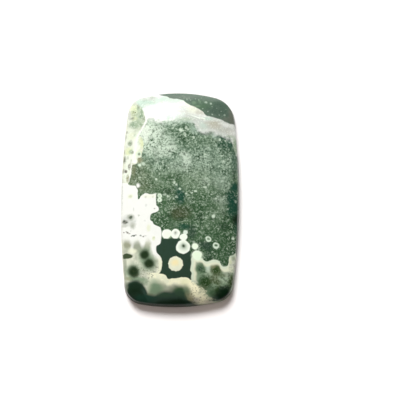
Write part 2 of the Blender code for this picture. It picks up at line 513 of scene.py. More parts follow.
# Soft patches of colour in the moss. Each entry is a colour and its patches, and a patch is x, y, half-width,
# half-height and strength, or with one radius if it's round. The tables of patches below read the same.
MOSS_PATCHES = [
    ("frost", (-6.4, 12.6, 2.6, 3.4, 1.0)), ("snow", (-6.9, 13.2, 1.6, 1.9, 0.6), (-6.9, 10.4, 0.9, 1.3, 0.4)),
    ("frost", (-4.3, 10.8, 2.6, 2.4, 0.85), (-4.2, 8.7, 1.9, 1.0, 0.6), (-1.7, 9.5, 1.0, 0.9, 0.8),
     (-2.4, 8.0, 0.6, 0.5, 0.5), (-3.4, 14.9, 1.0, 0.6, 0.5), (0.6, 8.2, 0.9, 0.5, 0.75), (1.3, 7.2, 1.0, 1.3, 0.8),
     (-4.6, 7.0, 0.5, 0.7, 0.5), (-1.0, 5.6, 1.3, 1.2, 0.25), (4.8, 2.7, 1.4, 0.8, 0.3), (8.2, -0.9, 1.4, 0.9, 0.4),
     (8.4, -2.8, 0.7, 0.9, 0.35), (2.2, -1.2, 0.9, 0.7, 0.2), (7.2, 11.8, 0.7, 0.2), (1.3, 5.4, 1.0, 0.35),
     (5.0, 6.2, 3.0, 2.2, 0.2)),
    ("lichen", (-7.2, 5.2, 1.4, 1.6, 0.3)), ("moss_head", (8.4, 4.5, 2.2, 3.4, 0.85)),
    ("moss_mid", (-5.4, 15.3, 0.6, 0.5, 0.7), (-4.2, 15.0, 0.6, 0.7)),
    ("olive", (-8.2, 4.5, 2.2, 2.4, 0.6), (-6.8, 1.6, 2.6, 1.3, 0.65), (-9.4, 2.9, 0.9, 0.8),
     (-8.4, 7.3, 0.5, 0.8)),
    ("moss_low", (-6.2, 5.1, 1.1, 0.6, 0.7), (-5.3, 2.4, 0.9, 0.5, 0.6), (-4.5, 1.0, 2.0, 0.9, 0.6),
     (-1.4, 2.6, 2.3, 1.7, 0.7), (3.0, -0.6, 1.8, 0.8, 0.6), (6.9, 1.3, 1.1, 0.9, 0.7), (0.9, 12.9, 0.9, 1.6, 0.6),
     (3.4, 14.3, 0.9, 1.0, 0.4), (2.2, 10.8, 2.6, 1.6, 0.55), (-1.2, 13.2, 1.6, 1.4, 0.45)),
    ("moss_mid", (6.0, 11.2, 1.6, 1.4, 0.4), (3.0, 3.2, 1.6, 0.5)),
    ("moss_low", (9.2, 10.6, 1.8, 1.6, 0.5), (-3.0, -0.9, 2.2, 1.2, 0.6), (3.3, -8.6, 0.9, 0.8, 0.6)),
    ("moss_deep", (-2.6, -5.8, 2.2, 1.3, 0.8), (3.3, -3.2, 1.6, 0.4), (9.6, -5.4, 2.0, 1.6, 0.7),
     (10.9, -9.8, 1.0, 2.4, 0.7), (9.1, -13.3, 0.6, 0.9, 0.8), (4.9, -11.6, 0.7, 1.2, 0.8)),
    ("moss_mid", (7.0, -3.8, 2.0, 1.8, 0.45), (5.6, -5.8, 1.6, 1.4, 0.35)),
    ("teal", (0.1, -0.4, 1.0, 1.4, 0.9), (10.7, -0.4, 1.4, 2.4, 0.7)), ("brown", (0.2, -3.8, 1.6, 1.2, 0.7)),
    ("moss_mid", (7.6, -3.0, 1.6, 1.4, 0.4)),
]

# Dark pools and pale veils that lie over the moss and its grains
MOSS_POOLS = [
    ("milk", (-7.2, 13.2, 1.0, 1.6, 0.6), (-6.9, 11.2, 0.7, 0.3), (-5.0, 13.0, 1.6, 1.2, 0.15)),
    ("fallow", (-8.3, 7.2, 0.7, 0.6, 0.7), (-9.4, 5.3, 0.5, 1.3, 0.3)),
    ("teal", (9.2, 10.6, 1.6, 1.2, 0.45), (8.4, 12.2, 1.1, 0.5, 0.5), (10.2, 11.4, 0.6, 1.0, 0.55),
     (11.1, 7.4, 0.8, 2.6, 0.45)),
    ("shade", (10.9, 5.2, 0.45, 0.4, 0.7), (11.0, 4.3, 0.35, 0.5, 0.7), (-2.3, 0.6, 0.8, 0.4, 0.7)),
    ("teal", (11.1, 2.1, 0.9, 0.9), (10.5, 0.0, 1.2, 0.5), (11.0, -1.3, 1.3, 1.2, 0.6),
     (11.1, -3.0, 1.5, 1.4, 0.65)),
    ("pine", (11.5, -4.7, 1.0, 1.1, 0.95)),
    ("teal", (11.6, -6.5, 0.7, 1.4, 0.5), (0.2, -0.1, 0.5, 0.9, 0.5), (-0.2, 0.5, 0.5, 0.4, 0.4),
     (0.4, -1.3, 0.5, 0.7, 0.45), (-0.4, 1.3, 0.6, 0.8, 0.35)),
    ("brown", (0.4, -3.6, 2.2, 1.6, 0.3), (-0.6, -4.0, 1.2, 0.9, 0.3)),
    ("shade", (0.2, -5.0, 0.7, 0.35, 0.6), (-2.0, -4.2, 0.45, 0.5), (-3.4, -4.7, 0.5, 0.4, 0.45)),
    ("teal", (1.0, -6.5, 1.2, 0.6, 0.65)),
    ("slate", (2.5, -7.7, 0.8, 1.3, 0.7), (4.2, -9.8, 1.7, 0.5, 0.4), (5.5, -10.2, 1.1, 0.8, 0.75),
     (5.9, -11.4, 0.6, 0.9, 0.4)),
    ("shade", (6.2, -12.7, 0.7, 0.5, 0.6), (8.8, -6.2, 0.9, 0.55), (4.1, -4.4, 0.8, 0.6, 0.35)),
    ("mint", (1.5, 15.3, 1.7, 0.6, 0.15), (3.0, 13.4, 0.9, 0.3)), ("dusk", (5.2, 12.7, 1.4, 0.45, 0.7)),
    ("frost", (-3.0, 15.6, 1.2, 0.5, 0.6), (-5.6, 15.0, 1.4, 0.6, 0.45), (-1.0, 15.3, 1.3, 0.5, 0.45),
     (8.0, 2.5, 1.6, 1.5, 0.15)),
    ("mint", (6.9, 12.4, 0.5, 0.6, 0.4)), ("moss_deep", (8.3, -11.8, 1.5, 1.0, 0.35)),
    ("moss_low", (-2.0, 2.6, 1.6, 1.3, 0.2)),
]

# Small pale dots in the moss, some of them under the cap
PALE_DOTS = [
    ("snow", (0.1, 13.25, 0.35, 0.85), (0.6, 13.1, 0.2, 0.22, 0.6), (1.15, 13.8, 0.2, 0.35, 0.55),
     (1.45, 13.4, 0.15, 0.2, 0.5), (0.95, 12.3, 0.2, 0.4, 0.55), (2.7, 11.8, 0.25, 0.65),
     (7.95, 11.6, 0.22, 0.25, 0.75), (9.05, 11.45, 0.18, 0.2, 0.6), (9.9, 11.3, 0.2, 0.45), (-4.8, 3.1, 0.24, 0.8),
     (-2.3, 5.3, 0.16, 0.7), (-3.9, 5.3, 0.16, 0.2, 0.6), (-1.0, 2.4, 0.24, 0.32, 0.75),
     (-0.55, 1.9, 0.18, 0.22, 0.65), (0.05, 1.1, 0.22, 0.8), (-2.35, -0.35, 0.22, 0.26, 0.7), (5.1, 8.3, 0.2, 0.7),
     (8.8, 7.2, 0.26, 0.2, 0.7), (7.85, 6.0, 0.2, 0.16, 0.65), (3.15, 0.65, 0.3, 0.22, 0.8),
     (2.4, 0.35, 0.26, 0.16, 0.65), (1.3, 0.1, 0.28, 0.18, 0.7), (5.1, 1.5, 0.3, 0.2, 0.65),
     (5.7, 2.15, 0.18, 0.2, 0.5), (6.35, 0.15, 0.16, 0.5), (7.3, -0.6, 0.3, 0.2, 0.45), (-3.0, 0.0, 0.4, 0.2, 0.45),
     (6.75, -4.25, 0.36, 0.26, 0.85), (6.95, -4.0, 0.14, 0.3, 0.6), (10.75, -8.4, 0.26, 0.85),
     (-8.1, 6.15, 0.3, 0.26, 0.95)),
    ("frost", (9.6, -2.6, 0.22, 0.2, 0.45), (-7.4, 6.45, 0.35, 0.28, 0.8), (5.15, 19.4, 0.2, 0.18, 0.35),
     (6.05, 19.2, 0.16, 0.35), (7.8, 16.7, 0.13, 0.25, 0.25), (8.9, 16.7, 0.13, 0.2, 0.25), (0.15, 20.4, 0.2, 0.45),
     (0.75, 20.45, 0.15, 0.2, 0.4), (1.25, 20.0, 0.16, 0.22, 0.5), (1.7, 20.1, 0.13, 0.22, 0.4),
     (2.9, -9.5, 0.3, 0.2, 0.45), (11.3, -0.8, 0.2, 0.3, 0.4)),
    ("white", (-8.35, 2.0, 0.42, 0.38, 0.95)),
]

# Patches in the cap. The dusk grey along its top edge is partly the stone's own grey and partly a painted
# reflection.
CAP_PATCHES = [
    ("slate", (7.8, 17.9, 2.6, 1.6, 0.45)), ("moss_low", (4.5, 19.2, 2.0, 0.9, 0.3), (3.8, 18.3, 1.8, 0.7, 0.4)),
    # Dusk along the top edge: partly the stone's grey, partly a painted reflection
    ("dusk", (2.2, 20.7, 2.4, 0.5, 0.6), (-1.5, 20.8, 1.6, 0.4, 0.7)),
    ("ash", (10.4, 16.6, 0.7, 2.2, 0.6), (9.2, 16.0, 0.6, 0.5, 0.4)), ("dusk", (6.5, 20.3, 2.4, 0.5, 0.4)),
    ("slate", (8.2, 19.4, 1.8, 0.6, 0.3)),
    ("sage", (2.6, 19.3, 0.4, 0.5), (3.4, 18.6, 0.5, 0.25, 0.5), (3.7, 19.8, 0.3, 0.4, 0.4)),
    ("frost", (-0.2, 20.6, 0.16, 0.35), (0.3, 20.9, 0.14, 0.3), (0.7, 20.6, 0.2, 0.16, 0.35),
     (0.6, 20.25, 0.16, 0.14, 0.3), (1.2, 20.3, 0.16, 0.3, 0.45), (1.65, 20.5, 0.15, 0.25, 0.4),
     (2.0, 20.0, 0.14, 0.4), (5.1, 19.5, 0.3, 0.25, 0.45), (6.1, 19.35, 0.22, 0.5), (3.6, 20.1, 0.12, 0.35),
     (6.3, 18.6, 0.12, 0.3), (6.4, 16.85, 0.16, 0.14, 0.4), (7.8, 16.75, 0.14, 0.4), (8.9, 16.9, 0.2, 0.35),
     (4.4, 18.0, 0.12, 0.3), (7.3, 18.2, 0.12, 0.25), (5.5, 17.4, 0.14, 0.3), (9.2, 18.2, 0.12, 0.2),
     (4.2, 20.6, 0.12, 0.3), (8.2, 17.6, 0.1, 0.3), (2.9, 20.3, 0.12, 0.35)),
    # Dusk along the top edge: partly the stone's grey, partly a painted reflection
    ("dusk", (0.6, 20.65, 1.8, 0.5, 0.7)),
]

# Patches in the white band
BAND_PATCHES = [
    ("mint", (-3.5, 18.2, 4.6, 1.5, 0.65), (1.2, 15.6, 1.8, 0.7, 0.95), (-8.4, 19.3, 1.2, 0.7),
     (-7.0, 19.5, 2.3, 1.1, 0.95), (-6.4, 18.8, 1.6, 0.6, 0.6)),
    ("mist", (-7.6, 20.4, 0.9, 0.4, 0.7), (-6.0, 20.5, 1.1, 0.6, 0.9)), ("clay", (-5.9, 20.6, 0.5, 0.3, 0.4)),
    ("sage", (-7.3, 19.9, 0.7, 0.25, 0.25), (-6.3, 19.2, 0.8, 0.25, 0.2)),
    ("mint", (-8.2, 18.6, 0.5, 0.6), (-3.4, 20.3, 1.6, 0.6, 0.8), (-1.6, 19.8, 1.1, 0.6, 0.45),
     (-0.2, 19.6, 0.8, 0.5)),
    ("celadon", (0.8, 18.4, 1.6, 1.2, 0.7)), ("mist", (0.4, 17.6, 1.6, 0.9, 1.0), (-4.3, 18.0, 0.7, 0.25, 0.35)),
    ("chalk", (2.7, 17.8, 1.4, 1.0, 0.8)), ("fawn", (4.0, 17.2, 1.0, 0.6, 0.8)),
    ("mist", (-0.2, 17.8, 1.2, 0.35, 0.5)), ("fawn", (0.9, 17.3, 1.4, 0.3, 0.35)),
    ("mint", (-0.9, 16.3, 2.6, 0.6, 0.9)), ("mist", (1.4, 16.0, 2.2, 0.75, 0.9), (-6.0, 15.7, 0.8, 0.35, 0.8)),
    ("lichen", (0.9, 15.6, 1.8, 0.4, 0.7)), ("mint", (-2.6, 16.0, 0.9, 0.5, 0.8)),
    ("mist", (-4.4, 15.6, 0.4, 0.3, 0.5), (7.5, 14.3, 4.5, 2.2, 1.0), (3.6, 15.3, 1.1, 0.8, 0.9)),
    ("mint", (4.6, 14.2, 0.9, 0.8, 0.6), (5.6, 15.9, 0.9, 0.4, 0.8)), ("fawn", (6.9, 14.6, 1.4, 0.9, 0.9)),
    ("fallow", (6.6, 15.0, 0.6, 0.3, 0.3)), ("fawn", (5.2, 14.9, 0.5, 0.25, 0.5)),
    ("white", (8.6, 15.0, 0.9, 0.3, 0.35), (9.9, 14.7, 1.2, 0.4, 0.6), (10.6, 13.4, 0.9, 0.5, 0.65)),
    ("fawn", (9.2, 13.6, 1.2, 0.5, 0.4)), ("white", (6.5, 13.3, 1.6, 0.3, 0.25)),
    ("clay", (7.8, 13.5, 0.5, 0.3, 0.3)), ("lichen", (11.3, 10.6, 0.8, 1.8, 1.0)),
    ("sage", (11.4, 10.8, 0.6, 1.4, 0.75)), ("lichen", (10.2, 12.5, 0.8, 0.3, 0.6)),
]

# Patches in the left column
COLUMN_PATCHES = [
    ("milk", (-10.3, 11.8, 1.2, 2.6, 0.45), (-10.6, 17.5, 0.9, 2.4, 0.5)), ("mist", (-9.5, 19.3, 0.5, 0.9)),
    ("lichen", (-8.6, 17.0, 1.3, 1.8, 0.75)), ("straw", (-9.7, 17.8, 0.8, 1.3, 0.6), (-9.4, 15.9, 0.6, 0.5, 0.6)),
    ("mist", (-10.5, 16.9, 0.4, 1.0, 0.7)),
    ("fern", (-9.6, 17.1, 0.4, 0.6, 0.32), (-9.25, 17.35, 0.16, 0.7), (-9.7, 17.5, 0.12, 0.5)),
    ("clay", (-9.9, 16.1, 0.4, 0.25, 0.9)), ("sage", (-8.7, 18.5, 0.3, 0.7, 0.5), (-7.95, 17.2, 0.3, 0.8, 0.6)),
    ("ash", (-7.4, 15.8, 0.3, 0.4, 0.45), (-8.6, 18.6, 0.25, 0.5, 0.35)),
    ("sage", (-8.15, 16.3, 0.4, 0.8), (-7.5, 15.7, 0.4, 0.7, 0.45)), ("lichen", (-9.0, 14.8, 1.5, 0.9, 0.9)),
    ("sage", (-9.9, 14.9, 0.5, 0.35), (-9.6, 14.4, 0.8, 0.5, 0.3), (-8.0, 14.6, 0.4, 0.3, 0.4)),
    ("lichen", (-8.7, 13.5, 1.0, 0.7, 0.4)), ("clay", (-7.9, 14.2, 0.25, 0.2, 0.5)),
    ("straw", (-9.7, 12.3, 1.0, 0.8, 0.3)), ("lichen", (-9.15, 12.5, 0.3, 0.35, 0.8)),
    ("milk", (-8.6, 12.0, 0.7, 1.3, 0.5), (-8.8, 10.2, 0.7, 1.5, 0.75), (-9.3, 8.3, 0.7, 1.2, 0.8),
     (-10.6, 7.6, 0.7, 1.6, 0.65), (-10.7, 4.4, 0.8, 1.8, 0.7)),
    ("clay", (-10.2, 10.9, 0.45, 0.6, 0.9), (-11.0, 13.3, 0.25, 0.35, 0.8), (-11.2, 12.3, 0.25, 0.7, 0.7)),
    ("sage", (-10.2, 10.9, 0.25, 0.4, 0.5)), ("straw", (-7.7, 10.9, 0.6, 1.2, 0.8), (-10.5, 9.2, 0.7, 0.8, 0.85)),
    ("lichen", (-7.5, 11.6, 0.4, 0.5), (-10.0, 9.1, 0.5, 0.4, 0.9)),
    ("clay", (-9.7, 9.0, 0.3, 0.8), (-10.6, 7.9, 0.2, 0.4, 0.5)), ("ash", (-11.35, 9.1, 0.15, 0.4, 0.6)),
    ("straw", (-8.3, 8.6, 0.7, 0.6, 0.6)), ("clay", (-11.3, 7.6, 0.4, 0.7, 0.9)),
    ("ash", (-11.3, 7.6, 0.2, 0.45, 0.7), (-10.25, 6.0, 0.28, 0.6, 0.9), (-9.9, 7.0, 0.15, 0.5, 0.4),
     (-11.0, 5.1, 0.3, 0.35, 1.0), (-11.5, 5.2, 0.25, 0.5, 0.6)),
    # The mist strip at x -11.6 runs along the left edge: painted shade on the wall
    ("fallow", (-10.6, 3.6, 0.3, 0.7, 0.9)), ("mist", (-11.6, 1.0, 0.25, 2.4, 0.8)),
]

# Marks in the white mass. The first two mist strips, along its left edge, are painted shade on the wall.
WHITE_MARKS = [
    ("mist", (-11.8, -0.5, 0.25, 4.0, 0.8), (-11.8, -8.0, 0.3, 3.0, 0.6), (-6.7, -2.1, 0.25, 0.4),
     (-9.2, -2.8, 0.15, 0.35, 0.5)),
    ("straw", (-9.9, -0.1, 0.5, 0.4, 0.5), (-6.05, -6.7, 0.4, 0.7, 0.45), (-5.0, -8.8, 0.3, 0.45, 0.6)),
    ("clay", (-9.9, -0.1, 0.25, 0.3), (-6.85, -0.45, 0.2, 0.25, 0.5), (-5.35, -0.45, 0.18, 0.2, 0.4),
     (-8.1, -4.1, 0.18, 0.5)),
    ("cream", (-5.9, -0.3, 1.6, 0.4, 0.35)), ("ash", (-5.0, -2.85, 0.16, 0.6)),
    ("mist", (-10.3, -5.0, 1.4, 1.1, 0.6), (-6.9, -5.25, 0.25, 0.15, 0.4)), ("clay", (-9.8, -4.4, 0.7, 0.6, 0.7)),
    ("shade", (-9.75, -4.4, 0.32, 0.3, 0.8)),
    ("ash", (-10.95, -5.25, 0.6, 0.4, 0.8), (-11.15, -7.35, 0.16, 0.14, 0.9), (-10.6, -7.3, 0.2, 0.14, 0.7),
     (-10.35, -7.5, 0.22, 0.16, 0.9), (-9.95, -7.7, 0.22, 0.12, 0.7)),
    ("shade", (-11.15, -5.05, 0.25, 0.7), (-10.6, -5.4, 0.25, 0.2, 0.6), (-9.3, -8.15, 0.34, 0.12, 0.8),
     (-8.95, -8.15, 0.2, 0.14, 0.8), (-8.6, -8.0, 0.22, 0.12, 0.7), (-7.7, -8.2, 0.2, 0.14, 0.7)),
    ("clay", (-11.0, -6.0, 0.7, 0.3, 0.4), (-9.3, -6.1, 0.6, 0.7, 0.5), (-9.3, -6.2, 0.25, 0.3, 0.5),
     (-5.0, -8.7, 0.2, 0.3)),
    ("mist", (-8.8, -5.3, 0.2, 0.15, 0.5)), ("ash", (-7.15, -8.4, 0.2, 0.14, 0.8)),
    ("mist", (-6.7, -8.25, 0.22, 0.12, 0.7), (-9.7, -7.15, 0.14, 0.12, 0.7)),
]

# Patches in the cream zone, and its dark eyes with their halos
ZONE_PATCHES = [
    ("clay", (-10.3, -9.7, 0.9, 1.0)), ("fallow", (-10.3, -9.7, 0.8, 0.4)),
    ("clay", (-10.7, -10.9, 0.8, 0.4), (-8.5, -10.0, 0.9, 0.8, 0.95)), ("white", (-9.4, -10.6, 0.35, 1.2, 0.5)),
    ("clay", (-7.8, -10.7, 1.1, 0.8, 0.9), (-6.3, -9.9, 0.6, 0.8, 0.45), (-6.2, -10.9, 0.9, 0.6, 0.7),
     (-7.4, -15.2, 0.8, 0.5)),
    ("white", (-5.1, -11.0, 0.6, 1.2, 0.7)), ("chalk", (-10.4, -13.4, 0.9, 0.6, 0.7)),
    ("cream", (-9.2, -11.2, 0.8, 0.5, 0.6)), ("fallow", (-9.8, -16.6, 1.1, 0.4, 0.8)),
    ("sage", (-8.1, -16.8, 1.2, 0.45, 0.8), (-6.8, -17.3, 1.0, 0.8, 0.7), (-6.7, -12.2, 1.6, 1.5, 0.75),
     (-5.9, -13.8, 1.5, 0.8)),
    ("clay", (-10.8, -14.6, 0.4, 2.2, 0.8), (-10.6, -18.0, 0.5, 1.2, 0.7)), ("sage", (-9.1, -15.3, 1.5, 1.6, 0.8)),
    ("eye", (-6.8, -12.0, 1.0, 0.95, 0.85), (-5.9, -13.75, 1.05, 1.0, 0.85), (-9.15, -15.0, 1.0, 0.95, 0.85),
     (-8.8, -15.7, 0.95, 0.8, 0.85), (-6.8, -12.0, 0.75, 0.7, 1.0), (-5.9, -13.75, 0.75, 1.0),
     (-9.0, -15.3, 0.75, 0.9, 1.0)),
]

# Patches in the cream floor under the window
FLOOR_PATCHES = [
    ("straw", (1.4, -17.4, 0.9, 0.5, 0.8)), ("clay", (-1.0, -18.4, 1.4, 0.5, 0.8), (-2.2, -18.7, 1.2, 0.5, 0.4)),
    ("sage", (-4.7, -18.5, 1.7, 1.0, 1.0), (-4.9, -18.9, 1.6, 1.0, 0.9), (-6.6, -17.9, 1.0, 0.9, 0.8)),
    ("lichen", (-5.2, -17.2, 1.2, 0.5, 0.6)),
    ("sand", (0.6, -17.1, 2.0, 0.5, 0.4), (2.9, -18.3, 1.6, 1.4, 1.0), (4.6, -20.0, 2.6, 1.3, 0.7)),
    ("fawn", (3.0, -20.7, 1.2, 0.5, 0.8), (6.4, -21.0, 1.2, 0.5, 0.6)), ("moss_deep", (0.3, -19.2, 1.5, 1.1, 1.0)),
    ("moss_mid", (1.6, -19.2, 0.8, 1.1, 0.8)), ("fallow", (2.1, -20.2, 0.9, 0.8, 0.8)),
    ("olive", (1.8, -20.7, 0.8, 0.4, 0.7)),
]

# Patches in the dark foot
FOOT_PATCHES = [
    ("pine", (-8.7, -18.4, 1.6, 1.1, 0.85), (0.5, -21.2, 2.4, 0.4, 0.75)), ("clay", (-10.6, -18.6, 0.5, 1.3, 0.5)),
    ("teal", (-6.6, -20.6, 2.0, 0.8, 0.5)),
    ("moss_deep", (-2.8, -19.9, 1.6, 0.4, 0.3), (0.4, -19.4, 1.2, 0.8, 0.35)),
    ("olive", (-5.7, -19.8, 0.6, 0.2, 0.5), (1.7, -19.7, 0.5, 0.9, 0.55)), ("fallow", (2.4, -20.6, 0.6, 0.4, 0.6)),
]

# Patches in the bottom right mass, then the dark spots that lie over its mottling
BLOCK_PATCHES = [
    ("clay", (3.9, -13.8, 0.9, 0.5, 0.5)), ("sage", (4.4, -15.1, 1.3, 1.4, 0.9)),
    ("olive", (7.3, -15.0, 1.4, 1.3, 0.8)), ("snow", (5.8, -14.5, 0.5, 1.1, 0.7)),
    ("sage", (4.6, -17.0, 0.9, 1.2, 0.9)), ("moss_low", (5.8, -17.8, 2.0, 1.6, 1.0)),
    ("fern", (7.3, -17.2, 1.4, 1.6, 0.7)), ("lichen", (5.9, -15.9, 0.8, 0.6, 0.6)),
    ("olive", (7.6, -16.3, 1.0, 0.7, 0.7)), ("chalk", (10.4, -13.4, 1.6, 1.3, 0.9)),
    ("cream", (9.7, -14.6, 1.3, 0.6, 0.9)), ("lichen", (8.8, -16.7, 1.0, 0.9, 0.9)),
    ("sage", (6.7, -18.1, 1.0, 0.5, 0.9), (8.9, -17.8, 0.8, 0.4, 0.8), (6.0, -19.4, 1.0, 0.7),
     (7.4, -18.3, 0.6, 0.4, 0.5)),
    ("clay", (9.6, -15.7, 0.7, 0.5, 0.7)),
]
BLOCK_SPOTS = [
    ("fern", (8.7, -15.9, 0.6, 0.35, 0.7), (10.7, -16.4, 0.6, 1.0, 0.9)), ("ivy", (10.2, -17.5, 0.6, 1.0, 0.85)),
    ("brown", (10.6, -17.0, 0.4, 0.9, 0.5)), ("moss_deep", (4.35, -14.7, 0.95, 0.85, 0.85)),
    ("foot", (4.3, -14.7, 0.5, 0.45, 0.6)), ("fern", (7.4, -14.8, 1.1, 0.9, 0.85)),
    ("ivy", (7.4, -14.9, 0.6, 0.55, 0.75), (5.4, -17.3, 1.2, 1.1, 0.9)), ("fallow", (6.8, -14.1, 0.5, 0.4, 0.5)),
    ("moss_deep", (5.2, -16.4, 0.8, 0.5, 0.4)),
    ("olive", (5.0, -18.4, 0.7, 0.5, 0.5), (10.8, -12.2, 0.45, 0.6, 0.8)),
    ("moss_deep", (7.0, -19.4, 1.1, 0.8, 0.85)), ("ivy", (7.9, -18.7, 0.7, 0.85)),
    ("foot", (8.6, -18.6, 0.6, 0.5, 0.8)),
    ("pine", (9.2, -19.2, 1.4, 1.1, 1.0), (8.4, -20.1, 1.4, 1.0, 1.0), (9.6, -18.4, 0.6, 0.5, 0.8)),
    ("foot", (7.2, -20.6, 0.9, 0.6, 0.8)), ("straw", (10.2, -13.1, 0.3, 0.5, 0.6)),
    ("olive", (7.0, -16.7, 0.9, 0.8, 0.6)), ("fern", (8.0, -17.2, 0.6, 0.4, 0.5)),
]

# Orbs: x, y, radius. The patches in them follow.
WHITE_ORBS = [
    (-9.1, 6.95, 0.42), (-2.5, -7.95, 0.93), (-0.75, -7.95, 0.93), (1.2, -7.6, 0.44), (0.9, -8.6, 0.74),
    (0.8, -10.52, 1.32), (3.17, -10.35, 0.6), (3.6, -12.1, 0.93),
]
RING_ORBS = [(5.8, -8.85, 0.55), (7.3, -10.05, 0.65), (-4.0, -0.25, 0.47), (-4.0, -1.05, 0.47), (-8.3, 8.5, 0.5)]
ORB_HEARTS = [
    ("lichen", (10.8, -12.2, 0.55, 0.6, 0.6), (-4.05, -0.25, 0.25, 0.7)),
    ("olive", (10.85, -12.2, 0.3, 0.35, 0.4), (-8.3, 8.5, 0.28, 0.3, 0.8)), ("sage", (0.85, -10.45, 0.8, 0.45)),
    ("moss_deep", (0.9, -10.4, 0.45, 0.6)), ("eye", (0.92, -10.4, 0.26, 0.85)), ("mist", (-0.7, -7.8, 0.4, 0.7)),
    ("clay", (-0.7, -7.8, 0.2, 0.8)),
    ("celadon", (3.6, -12.2, 1.0, 0.9, 0.9), (3.17, -10.3, 0.6, 0.7), (-2.2, -8.2, 0.8, 0.6, 0.5)),
    ("mint", (1.2, -7.55, 0.4, 0.5)), ("moss_mid", (5.8, -8.82, 0.3, 0.28, 0.9)),
    ("moss_low", (7.35, -10.0, 0.35, 0.28, 0.95)), ("brown", (-4.0, -1.05, 0.14, 0.7)),
]

# Orbs that only the back shows: x, y, radius
BACK_ORBS = [
    (-5.5, 11, 1.3), (-3.4, 9.4, 0.8), (4.2, 6.8, 0.7), (6.0, 5.9, 1.1), (2.6, -2.2, 0.9), (7.4, -3.6, 0.6),
    (-6.8, 3.1, 0.7), (3.4, 14.2, 1.2), (5.1, 13.0, 0.6), (-1.8, -3.4, 0.55),
]


def patches_group(name, tones, patches, soft):
    """A node group that lays soft patches over a colour in turn."""
    group = bpy.data.node_groups.new(name, "ShaderNodeTree")
    group.interface.new_socket("Colour", in_out="INPUT", socket_type="NodeSocketColor")
    group.interface.new_socket("Place", in_out="INPUT", socket_type="NodeSocketVector")
    group.interface.new_socket("Colour", in_out="OUTPUT", socket_type="NodeSocketColor")
    colour = Wire(group, None).node("NodeGroupInput")
    plan = Wire(group, colour.socket.node.outputs["Place"])
    for tone, (x, y, *radii, strength) in patches:
        colour = colour.covered(tones[tone], spot(plan, x, y, radii[0], radii[-1], soft, strength))
    colour.node("NodeGroupOutput", None, {"Colour": colour}, None)
    return group


def patched(colour, plan, name, tones, table, soft):
    """A colour with soft patches laid over it in turn, in small groups because a large tree is slow to wire."""
    patches = [(tone, patch) for tone, *placed in table for patch in placed]
    for n in range(0, len(patches), GROUP_SIZE):
        group = patches_group(f"{name} {n // GROUP_SIZE + 1}", tones, patches[n : n + GROUP_SIZE], soft)
        colour = colour.node("ShaderNodeGroup", {"node_tree": group}, {"Colour": colour, "Place": plan})
    return colour


def moss(tones, solid, lobed, up, length):
    """Moss: paler towards the head, with clouds, branching grains and single pale dots."""
    # The ramp is paler towards the head: partly the moss's own colour, partly a painted veil of reflected light
    stops = [(0.2, tones["moss_deep"]), (0.85, tones["moss_head"]), (0.38, tones["moss_low"]),
             (0.47, tones["moss_low"]), (0.57, tones["moss_mid"]), (0.66, tones["moss_head"])]
    colour = up.node("ShaderNodeValToRGB", {"stops": stops}, {0: (up + length / 2) / length})
    colour = patched(colour, lobed, "moss patches", tones, MOSS_PATCHES, soft=0.6)
    upper = up.fade(-4.0, 9.0)
    cloud = solid.noise(1.5, 3.0, 0.6)
    colour = colour.covered(tones["shade"], cloud.fade(0.52, 0.3, 0.0, 0.45))
    colour = colour.covered(tones["frost"], cloud.fade(0.5, 0.74, 0.0, 0.4) * (upper * 0.6 + 0.4))
    grain = solid.noise(0.4, 4.0, 0.7, 0.4)
    vigour = solid.noise(2.6, 2.0).fade(0.35, 0.65, 0.55, 1.0)
    bright = spot(lobed, -5.8, 12.0, 3.4, 4.2, 0.5)
    colour = colour.covered(tones["moss_deep"], grain.fade(0.54, 0.36) * bright)
    colour = colour.covered(tones["shade"], grain.fade(0.55, 0.33, 0.0, 0.95) * vigour * (1.0 - bright))
    colour = colour.covered(tones["snow"], grain.fade(0.49, 0.69, 0.0, 0.85) * vigour * (upper * 0.15 + 0.75))
    colour = patched(colour, lobed, "moss pools", tones, MOSS_POOLS, soft=0.6)
    return patched(colour, lobed, "pale dots", tones, PALE_DOTS, soft=0.5)


